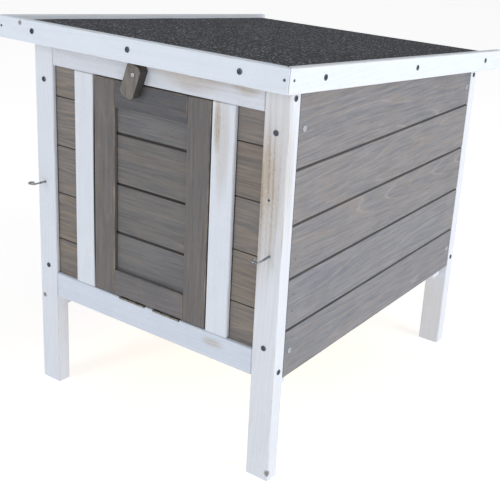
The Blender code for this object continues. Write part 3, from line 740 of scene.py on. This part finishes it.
def screw_head(radius):
    """A countersunk head with a cross recess, its face up, the wood's surface at height 0."""
    proud = 0.75 * MM
    bm = bmesh.new()
    drum(bm, radius, 2 * proud, Matrix.Identity(4), edge=0.3 * MM, sides=28)
    cross = bmesh.new()
    arm, width, deep = radius * 0.62, radius * 0.17, 0.6 * MM
    block(cross, (-arm, -width, proud - deep), (arm, width, 3 * MM))
    other = bmesh.new()
    block(other, (-width, -arm, proud - deep), (width, arm, 3.2 * MM))
    return carve(bm, carve(cross, other, "UNION"))


def nail_head(radius):
    bm = bmesh.new()
    drum(bm, radius, 0.8 * MM, Matrix.Identity(4), edge=0.15 * MM, sides=16)
    return bm


def as_mesh(bm, name):
    mesh = bpy.data.meshes.new(name)
    bm.to_mesh(mesh)
    bm.free()
    return mesh


BIG_SCREW = as_mesh(screw_head(4.0 * MM), "big_screw")
SMALL_SCREW = as_mesh(screw_head(2.1 * MM), "small_screw")
NAIL = as_mesh(nail_head(1.9 * MM), "nail")
BRAD = as_mesh(nail_head(1.0 * MM), "brad")
CLOUT = as_mesh(nail_head(4.5 * MM), "clout")


def set_heads(name, head, places, material, body):
    """Sets a head at every (point, outward direction) of a body, as one piece."""
    bm = bmesh.new()
    for i, (point, outward) in enumerate(places):
        before = set(bm.verts)
        bm.from_mesh(head)
        new = [v for v in bm.verts if v not in before]
        turn = Vector((0, 0, 1)).rotation_difference(Vector(outward)).to_matrix().to_4x4()
        spin_by = Matrix.Rotation(math.radians(37 * i + 11), 4, "Z")
        bmesh.ops.transform(bm, matrix=Matrix.Translation(point) @ turn @ spin_by, verts=new)
    return finish_piece(bm, name, material, "zinc_steel", body, smooth=35)


# %% [markdown]
# ## Fasteners of the cabin
# Screws go where a joiner would set them: at the ends of the rails, and on a line over the
# batten that they reach behind the boards. Their places are worked out from the pieces that
# they hold, so they follow if a piece changes. All heads of one sort are one mesh, because
# they move together and are never looked at on their own.

# %% Heads in the cabin's frame
FORWARD, BACK, RIGHT, LEFT = Vector((0, -1, 0)), Vector((0, 1, 0)), Vector((1, 0, 0)), Vector((-1, 0, 0))
LEG_MIDDLE_X = (LEG_LOW.x + LEG_HIGH.x) / 2
LEG_MIDDLE_Y = (LEG_HIGH.y - LEG_LOW.y) / 2
BATTEN_LINE = 36 * MM                   # from a corner to the screws that reach the batten behind
BOTTOM_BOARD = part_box("right_side_board_1")
TOP_BOARD_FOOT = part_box("right_side_board_5")[0].z
THIRD_BOARD_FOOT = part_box("right_side_board_3")[0].z

leg_screws, board_screws, brads = [], [], []
for end, face, outward, inward in (("front", FRONT, FORWARD, 1), ("rear", REAR, BACK, -1)):
    sill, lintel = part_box(f"{end}_bottom_rail")[1].z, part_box(f"{end}_top_rail")[0].z
    leg_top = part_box(f"{end}_right_leg")[1].z
    for side, out in ((1, RIGHT), (-1, LEFT)):
        leg_screws += [((side * LEG_MIDDLE_X, face, z), outward) for z in (sill + 8 * MM, lintel - 24 * MM)]
        leg_screws += [((side * SIDE, face + inward * LEG_MIDDLE_Y, z), out)
                       for z in (BOTTOM_BOARD[0].z + 14 * MM, leg_top - 22 * MM)]
        line = face + inward * BATTEN_LINE
        board_screws.append(((side * SIDE, line, BOTTOM_BOARD[0].z + BOARD_COVER / 2), out))
        board_screws.append(((side * SIDE, line, TOP_BOARD_FOOT + 0.45 * (leg_top - TOP_BOARD_FOOT)), out))
for side, out in ((1, RIGHT), (-1, LEFT)):
    brads += [((side * SIDE, FRONT + BATTEN_LINE, THIRD_BOARD_FOOT + BOARD_COVER * part), out)
              for part in (-2 / 3, -1 / 3, 1 / 3)]
    brads.append(((side * SIDE, FRONT + (REAR - FRONT) * 2 / 3, THIRD_BOARD_FOOT - 7 * MM), out))
set_heads("leg_screws", BIG_SCREW, leg_screws, dark_steel, "cabinet")
set_heads("side_board_screws", BIG_SCREW, board_screws, zinc, "cabinet")
set_heads("side_board_brads", BRAD, brads, dark_steel, "cabinet")
nail_height = (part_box("front_right_leg")[0].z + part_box("front_right_leg")[1].z) / 2 + 130 * MM
set_heads("leg_nail", NAIL, [((LEG_MIDDLE_X - 5 * MM, FRONT, nail_height), FORWARD)], dark_steel, "cabinet")
door_rail_low, door_rail_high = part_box("top_door_rail")
door_brad = Vector((5 * MM, door_rail_low.y, door_rail_low.z + 0.7 * (door_rail_high.z - door_rail_low.z)))
set_heads("door_rail_brad", BRAD, [(door_brad, FORWARD)], dark_steel, "door")
print("heads in the cabin and door:", len(leg_screws) + len(board_screws) + len(brads) + 2)

# %% [markdown]
# ## Fasteners of the roof
# The fascias are screwed to the roof board, nailed at their corners, and the felt is nailed
# down at the rear. The roof slopes, so a place is first found in the roof's own level frame
# and then turned with it. These heads ride on the roof and lift with it.

# %% Heads in the roof


def on_fascia(x, y, outward):
    """A point at the screws' height on a fascia, given in the roof's frame."""
    _, high = roof_box("front_fascia")
    place = ROOF_FRAME @ Vector((x, y, high.z - 15 * MM))
    return place, ROOF_FRAME.to_3x3() @ outward


fascia_low, fascia_high = roof_box("front_fascia")
side_low, side_high = roof_box("right_fascia")
hinge_y = ROOF_FRAME.translation.y
END_INSET = 71 * MM                     # of the outer screws from the front fascia's ends
CORNER_INSET = 6 * MM                   # of the nails, half the thickness of the board they enter
WALL_INSET = 33 * MM                    # of the side fascias' outer screws from the walls' ends
outer = fascia_high.x - END_INSET
fascia_screws = [on_fascia(x, fascia_low.y, FORWARD) for x in (-outer, 0, outer)]
fascia_nails = [on_fascia(side * (fascia_high.x - CORNER_INSET), fascia_low.y, FORWARD) for side in (-1, 1)]
for x, outward in ((side_high.x, RIGHT), (-side_high.x, LEFT)):
    fascia_screws += [on_fascia(x, y - hinge_y, outward)
                      for y in (FRONT + WALL_INSET, (FRONT + REAR) / 2, REAR - WALL_INSET)]
    fascia_nails.append(on_fascia(x, side_low.y + 1.5 * CORNER_INSET, outward))
set_heads("fascia_screws", BIG_SCREW, fascia_screws, dark_steel, "roof")
set_heads("fascia_nails", NAIL, fascia_nails, dark_steel, "roof")
_, felt_high = roof_box("roof_felt")
clouts = [(ROOF_FRAME @ Vector((x * MM, felt_high.y + 2.2 * MM, felt_high.z - 9 * MM)),
           ROOF_FRAME.to_3x3() @ BACK) for x in range(-225, 226, 90)]
set_heads("felt_nails", CLOUT, clouts, zinc, "roof")
print("heads in the roof:", len(fascia_screws) + len(fascia_nails) + len(clouts))

# %% [markdown]
# ## The turn button
# A block of grey pine with its corners sawn off turns on one screw and laps the door's top
# rail. It stands at a slight tilt, as the last hand left it. It is cut as it would be at the
# bench: a rectangular block, four corners bevelled off, all edges eased, a hole with a
# countersink bored through, and only then turned to its tilt about the screw.

# %% Turn button and its screw
LATCH_PIVOT = Vector(JOINTS["latch_pivot"]["pos_m"])
LATCH_TILT = math.radians(20)


def turn_button():
    button_low, button_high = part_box("latch_button")
    left, right, foot, top = -14.5 * MM, 11.5 * MM, -35.5 * MM, 14.5 * MM
    thick = button_high.y - button_low.y
    bm = bmesh.new()
    block(bm, (left, -thick / 2, foot), (right, thick / 2, top))
    uprights = [e for e in bm.edges if abs(e.verts[0].co.y - e.verts[1].co.y) > thick / 2]
    bmesh.ops.bevel(bm, geom=uprights, offset=5 * MM, segments=1, profile=0.5,
                    affect="EDGES", material=-1)
    bmesh.ops.bevel(bm, geom=bm.edges[:], offset=1.1 * MM, segments=3, profile=0.5,
                    affect="EDGES", material=-1)
    bore = bmesh.new()
    lie = Matrix.Rotation(math.pi / 2, 4, "X")
    drum(bore, 2.45 * MM, 3 * thick, lie, sides=24)
    sink = bmesh.new()
    drum(sink, 2.2 * MM, 3.0 * MM, Matrix.Translation((0, -thick / 2 + 0.9 * MM, 0)) @ lie, tip=4.6 * MM)
    bm = carve(bm, carve(bore, sink, "UNION"))
    middle = Vector((LATCH_PIVOT.x, (button_low.y + button_high.y) / 2, LATCH_PIVOT.z))
    tilt = Matrix.Translation(middle) @ Matrix.Rotation(LATCH_TILT, 4, "Y")
    bmesh.ops.transform(bm, matrix=tilt, verts=bm.verts)
    return finish_piece(bm, "turn_button", grey_button, "grey_stained_pine", "latch", "latch_button",
                        smooth=30)


def button_screw():
    """The screw keeps still in the rail while the button turns on it."""
    button_low, button_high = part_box("latch_button")
    bm = screw_head(3.0 * MM)
    drum(bm, 2.0 * MM, 1.9 * MM, Matrix.Translation((0, 0, -1.1 * MM)), tip=2.9 * MM)
    drum(bm, 1.9 * MM, 24 * MM, Matrix.Translation((0, 0, -13 * MM)))
    face = Vector((LATCH_PIVOT.x, button_low.y + 0.6 * MM, LATCH_PIVOT.z))
    turn = Matrix.Rotation(math.pi / 2, 4, "X") @ Matrix.Rotation(math.radians(25), 4, "Z")
    bmesh.ops.transform(bm, matrix=Matrix.Translation(face) @ turn, verts=bm.verts)
    return finish_piece(bm, "turn_button_screw", zinc, "zinc_steel", "cabinet", "latch_screw", smooth=35)


turn_button()
button_screw()
print("turn button tilted by", round(math.degrees(LATCH_TILT)), "degrees")

# %% [markdown]
# ## Wire hooks
# Two screw hooks on the front legs hold a wire run against the hutch. A hook is one length
# of wire, so it's a path with a thickness: a curve with a round bevel. The thread could be
# cut into the shank, but rolled threads on wire this thin stand proud of it, so a second,
# finer wire is wound round the shank as a helix and sunk halfway into it.

# %% Screw hooks


def wire(bm, points, radius, roundness=4):
    """Adds a round wire along points to a bmesh."""
    curve = bpy.data.curves.new("wire", "CURVE")
    curve.dimensions = "3D"
    curve.bevel_depth = radius
    curve.bevel_resolution = roundness
    curve.use_fill_caps = True
    spline = curve.splines.new("POLY")
    spline.points.add(len(points) - 1)
    for point, place in zip(spline.points, points):
        point.co = (*place, 1)
    holder = bpy.data.objects.new("wire", curve)
    bpy.context.scene.collection.objects.link(holder)
    evaluated = holder.evaluated_get(bpy.context.evaluated_depsgraph_get())
    before = set(bm.verts)
    bm.from_mesh(evaluated.to_mesh())
    evaluated.to_mesh_clear()
    bpy.data.objects.remove(holder, do_unlink=True)
    bmesh.ops.remove_doubles(bm, verts=[v for v in bm.verts if v not in before], dist=1e-6)


def screw_hook(name, node, x, z, roll, tilt):
    """The hook's path lies in its own frame: out along -Y, then a curl towards +Z."""
    thick, curl, out, inside = 1.4 * MM, 5.4 * MM, 21.5 * MM, 10 * MM
    path = [(0, inside, 0), (0, 0, 0), (0, -out * 0.5, 0), (0, -out + 1.5 * MM, 0)]
    for i in range(29):
        angle = math.radians(250) * i / 28
        path.append((0, -out - curl * math.sin(angle), curl - curl * math.cos(angle)))
    bm = bmesh.new()
    wire(bm, path, thick)
    pitch, turns, per_turn = 1.5 * MM, 9, 16
    helix = []
    for i in range(turns * per_turn + 1):
        angle = 2 * math.pi * i / per_turn
        deep = 1.0 if 0 < i < turns * per_turn else 0.75
        wide = thick * deep
        helix.append((wide * math.cos(angle), 1.5 * MM - pitch * i / per_turn, wide * math.sin(angle)))
    wire(bm, helix, 0.38 * MM, roundness=1)
    turn = Matrix.Rotation(-tilt, 4, "X") @ Matrix.Rotation(roll, 4, "Y")
    bmesh.ops.transform(bm, matrix=Matrix.Translation((x, FRONT, z)) @ turn, verts=bm.verts)
    return finish_piece(bm, name, wire_metal, "zinc_steel", "cabinet", node, smooth=50)


LEVEL, SLACK = math.radians(-90), math.radians(3)
screw_hook("left_screw_hook", "left_hook", -213.6 * MM, 346 * MM, LEVEL, SLACK)
screw_hook("right_screw_hook", "right_hook", 211.7 * MM, 341 * MM, LEVEL + 2 * SLACK, -SLACK)
print("two screw hooks with threads")

# %% [markdown]
# ## Butt hinges
# A butt hinge is two folded plates whose knuckles mesh round a pin. Folding them from sheet
# with a bend modifier would be true to life, but only the plate, the barrel and the screws
# can ever be seen, so each leaf is a thin plate, short necks and drums on the pin's line,
# with countersunk screw heads set into it. Each leaf rides on its own side of the joint.

# %% Hinges


def hinge_leaf(name, size, level, knuckles, pin, place, body, screw_side, *replaced):
    """One leaf: plate in +Y of the pin, knuckles round X. screw_side is +1 or -1 in Z."""
    length, width, thick, radius = size
    clear = radius + 0.6 * MM
    along_x = Matrix.Rotation(math.pi / 2, 4, "Y")
    bm = bmesh.new()
    block(bm, (-length / 2, clear, level), (length / 2, width, level + thick), edge=0.2 * MM, segments=1)
    for low, high in knuckles:
        block(bm, (low + 0.1 * MM, radius * 0.4, level), (high - 0.1 * MM, clear + 0.5 * MM, level + thick))
        drum(bm, radius, high - low, Matrix.Translation(((low + high) / 2, 0, 0)) @ along_x, edge=0.2 * MM)
    if pin:
        drum(bm, radius * 0.55, length + 0.8 * MM, along_x, edge=0.2 * MM, sides=16)
    face = level + thick if screw_side > 0 else level
    for x in (-length * 0.36, 0, length * 0.36):
        before = set(bm.verts)
        bm.from_mesh(SMALL_SCREW)
        new = [v for v in bm.verts if v not in before]
        flip = Matrix.Rotation(0 if screw_side > 0 else math.pi, 4, "X")
        sunk = Matrix.Translation((x, (clear + width) / 2, face - screw_side * 0.45 * MM))
        bmesh.ops.transform(bm, matrix=sunk @ flip @ Matrix.Rotation(x * 40, 4, "Z"), verts=new)
    bmesh.ops.transform(bm, matrix=place, verts=bm.verts)
    return finish_piece(bm, name, hinge_metal, "zinc_steel", body, *replaced, smooth=35)


def knuckle_spans(length):
    third = length / 6
    gap = 0.15 * MM
    return [(-length / 2, -third - gap), (third + gap, length / 2)], [(-third + gap, third - gap)]


DOOR_PIN = Vector(JOINTS["door_hinge"]["pos_m"])
door_hinge_size = (50 * MM, 15 * MM, 0.9 * MM, 1.8 * MM)
outer_spans, middle_span = knuckle_spans(door_hinge_size[0])
for side, x in (("left", -31 * MM), ("right", 36 * MM)):
    at = Matrix.Translation(DOOR_PIN + Vector((x, 0, 0)))
    hinge_leaf(f"{side}_sill_hinge_leaf", door_hinge_size, -0.7 * MM, outer_spans, True, at, "cabinet", 1,
               f"{side}_door_hinge_sill_leaf")
    hinge_leaf(f"{side}_ramp_hinge_leaf", door_hinge_size, 1.4 * MM, middle_span, False, at, "door", -1,
               f"{side}_door_hinge_door_leaf")
roof_hinge_size = (50 * MM, 20 * MM, 1.2 * MM, 2.4 * MM)
outer_spans, middle_span = knuckle_spans(roof_hinge_size[0])
for side, x in (("left", -130 * MM), ("right", 130 * MM)):
    on_pin = Matrix.Translation((x, 0, 0))
    upright = Matrix.Translation(ROOF_FRAME.translation) @ on_pin @ Matrix.Rotation(-math.pi / 2, 4, "X")
    hinge_leaf(f"{side}_rail_hinge_leaf", roof_hinge_size, -2.7 * MM, outer_spans, True, upright,
               "cabinet", 1, f"{side}_roof_hinge_body_leaf")
    hinge_leaf(f"{side}_roof_hinge_leaf", roof_hinge_size, 1.5 * MM, middle_span, False, ROOF_FRAME @ on_pin,
               "roof", -1, f"{side}_roof_hinge_roof_leaf")
print("four hinges, eight leaves")

# %% [markdown]
# ## Floor and sky
# The hutch stands in a bright studio with no horizon. A very large pale floor takes its soft
# shadow, and gives off a little light itself, as paper does that is lit from all sides. The sky
# is even, and looks brighter to the eye than it is as a light, so the backdrop comes out nearly
# white without washing out the wood.

# %% Floor and sky
FLOOR_REACH = 25
FLOOR_GLOW = 0.47
SKY_LIGHT, SKY_EXTRA_TO_EYE = 0.5, 0.46


def lay_floor():
    bm = bmesh.new()
    bmesh.ops.create_grid(bm, x_segments=1, y_segments=1, size=FLOOR_REACH,
                          matrix=Matrix.Translation((0, 0, -0.2 * MM)))
    mesh = bpy.data.meshes.new("floor")
    bm.to_mesh(mesh)
    bm.free()
    floor = bpy.data.objects.new("floor", mesh)
    bpy.context.scene.collection.objects.link(floor)
    pale, _, shader = new_finish("pale_floor")
    shader.inputs["Base Color"].default_value = (0.93, 0.93, 0.93, 1)
    shader.inputs["Roughness"].default_value = 0.8
    shader.inputs["Emission Color"].default_value = (1, 1, 1, 1)
    shader.inputs["Emission Strength"].default_value = FLOOR_GLOW
    mesh.materials.append(pale)


def hang_sky():
    sky = bpy.data.worlds.new("soft_sky")
    sky.use_nodes = True
    tree = sky.node_tree
    light = tree.nodes["Background"]
    light.inputs[0].default_value = (1, 1, 1, 1)
    seen = tree.nodes.new("ShaderNodeLightPath").outputs["Is Camera Ray"]
    extra = times(tree, seen, SKY_EXTRA_TO_EYE)
    feed(tree, light.inputs[1], plus(tree, extra, SKY_LIGHT))
    bpy.context.scene.world = sky


bpy.context.scene.view_settings.view_transform = "Standard"
lay_floor()
hang_sky()
print("floor to", FLOOR_REACH, "metres, glow", FLOOR_GLOW)

# %% [markdown]
# ## Lamps and camera
# One softbox stands before the front and a larger, stronger one by the right side, so the two
# faces differ in tone but neither is dark. The camera stands to the right of the front, at
# about the height of a kneeling person's eyes, and looks down through a rather long lens.

# %% Lamps and camera
LAMPS = (("front_light", (-0.9, -2.9, 1.5), 0.9, 17),      # name, place, size in metres, watts
         ("side_light", (3.0, 0.2, 1.1), 1.8, 40))
LAMP_TARGET = Vector((0, 0, 0.3))


def hang_lamps():
    for name, place, size, watts in LAMPS:
        lamp = bpy.data.lights.new(name, "AREA")
        lamp.energy = watts
        lamp.size = size
        holder = bpy.data.objects.new(name, lamp)
        holder.location = place
        holder.rotation_euler = (LAMP_TARGET - Vector(place)).to_track_quat("-Z", "Y").to_euler()
        bpy.context.scene.collection.objects.link(holder)


def aim_camera():
    lens = bpy.data.cameras.new("camera")
    lens.sensor_width = 36
    lens.lens = 67.1
    lens.shift_y = -0.09
    camera = bpy.data.objects.new("camera", lens)
    bpy.context.scene.collection.objects.link(camera)
    yaw, pitch, roll = (math.radians(a) for a in (35.283, -19.496, -2.868))
    stand = (Matrix.Rotation(yaw, 4, "Z") @ Matrix.Rotation(pitch, 4, "X") @ Matrix.Rotation(roll, 4, "Y")
             @ Matrix.Rotation(math.pi / 2, 4, "X"))
    camera.matrix_world = Matrix.Translation((0.8380, -1.2186, 0.8095)) @ stand
    bpy.context.scene.camera = camera


hang_lamps()
aim_camera()
print("lamps:", ", ".join(name for name, *_ in LAMPS))

# %% [markdown]
# ## Finish
# Last, the view layer is brought up to date.

# %% Finish
bpy.context.view_layer.update()
